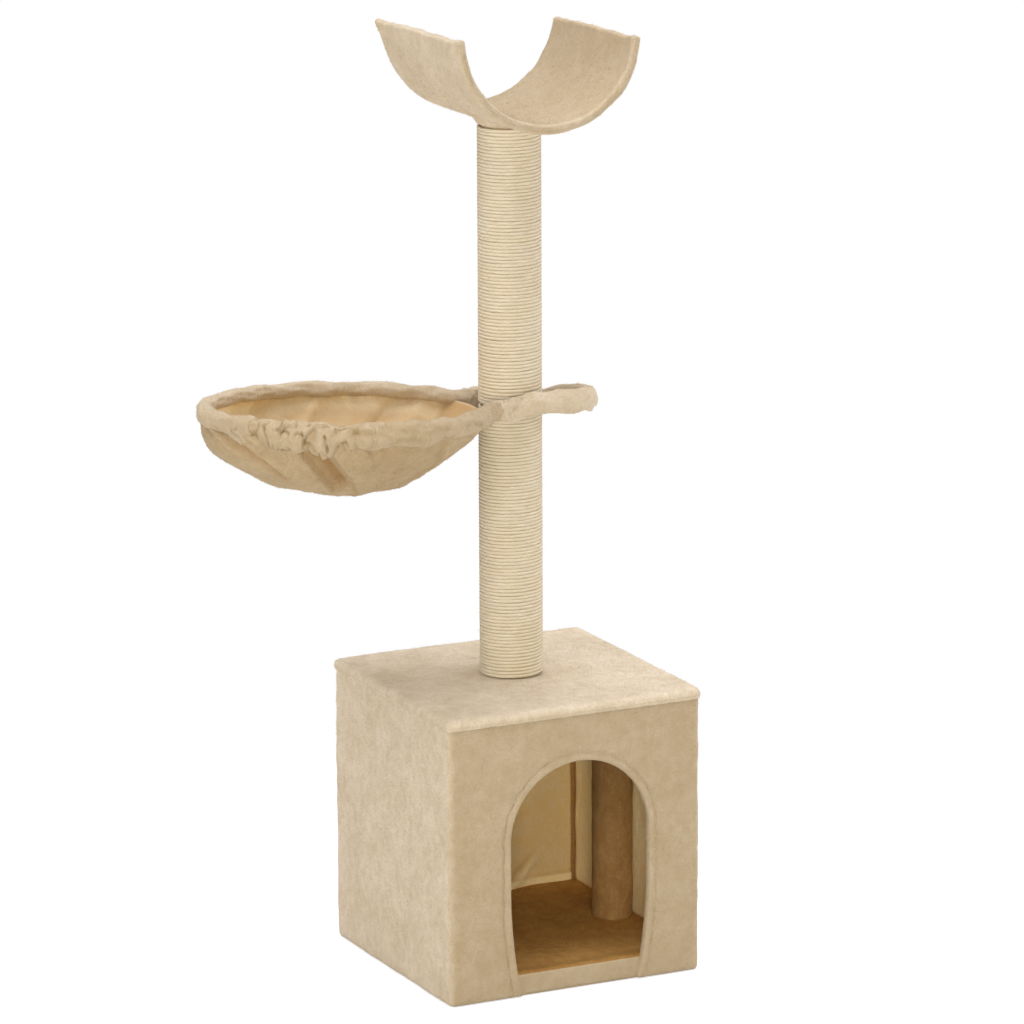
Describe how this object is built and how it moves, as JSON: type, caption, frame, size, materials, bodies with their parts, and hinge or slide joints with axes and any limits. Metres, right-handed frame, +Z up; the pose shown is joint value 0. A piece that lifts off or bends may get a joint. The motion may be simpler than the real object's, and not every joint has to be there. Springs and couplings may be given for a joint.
{
  "type": "cat tree",
  "caption": "Free-standing cat tree: plush box house with an arched doorway, sisal post, plush hammock on a wire loop and a half-pipe perch on top.",
  "frame": {"origin": "centre of the base board's underside, on the floor", "axes": "+Z up along the post, +X to the right of the doorway as seen from the front, +Y to the back"},
  "size_m": [0.5009, 0.3351, 1.0395],
  "materials": {
    "beige_plush": "short plush pile",
    "lining_plush": "thin short plush",
    "chipboard": "raw chipboard",
    "hardboard": "smooth hardboard",
    "wood_fibre": "raw fibreboard",
    "cardboard_tube": "wound paper tube",
    "sisal_rope": "twisted natural sisal",
    "zinc_steel": "zinc plated",
    "steel_wire": "black lacquered"
  },
  "bodies": {
    "stand": {"base_board": "chipboard", "base_cover": "beige_plush", "top_board": "chipboard", "roof_cover": "beige_plush", "wall_cover": "beige_plush", "wall_panel_left": "hardboard", "wall_panel_right": "hardboard", "wall_panel_back": "hardboard", "wall_panel_front": "hardboard", "wall_lining_left": "lining_plush", "wall_lining_right": "lining_plush", "wall_lining_back": "lining_plush", "wall_lining_front": "lining_plush", "arch_hem": "beige_plush", "inner_tube_left": "cardboard_tube", "inner_post_cover_left": "beige_plush", "inner_plug_bottom_left": "wood_fibre", "inner_plug_top_left": "wood_fibre", "inner_screw_bottom_left": "zinc_steel", "inner_screw_top_left": "zinc_steel", "inner_tube_right": "cardboard_tube", "inner_post_cover_right": "beige_plush", "inner_plug_bottom_right": "wood_fibre", "inner_plug_top_right": "wood_fibre", "inner_screw_bottom_right": "zinc_steel", "inner_screw_top_right": "zinc_steel", "lower_post_tube": "cardboard_tube", "lower_sisal_rope": "sisal_rope", "lower_plug_bottom": "wood_fibre", "lower_insert_bottom": "zinc_steel", "lower_plug_top": "wood_fibre", "lower_insert_top": "zinc_steel", "upper_post_tube": "cardboard_tube", "upper_sisal_rope": "sisal_rope", "upper_plug_bottom": "wood_fibre", "upper_insert_bottom": "zinc_steel", "upper_plug_top": "wood_fibre", "upper_insert_top": "zinc_steel", "post_bolt": "zinc_steel", "post_bolt_washer": "zinc_steel", "joining_stud": "zinc_steel", "perch_bolt": "zinc_steel"},
    "hammock": {"hammock_frame": "steel_wire", "loop_sleeve": "beige_plush", "rim_sleeve": "beige_plush", "hammock_bowl": "beige_plush"},
    "perch": {"perch_board": "wood_fibre", "perch_cover": "beige_plush"}
  },
  "joints": [
    {"name": "hammock_swivel", "type": "hinge", "parent": "stand", "child": "hammock", "pos_m": [0, 0.01, 0.6215], "axis": [0, 0, 1], "continuous": true},
    {"name": "perch_swivel", "type": "hinge", "parent": "stand", "child": "perch", "pos_m": [0, 0.01, 0.9303], "axis": [0, 0, 1], "continuous": true}
  ]
}
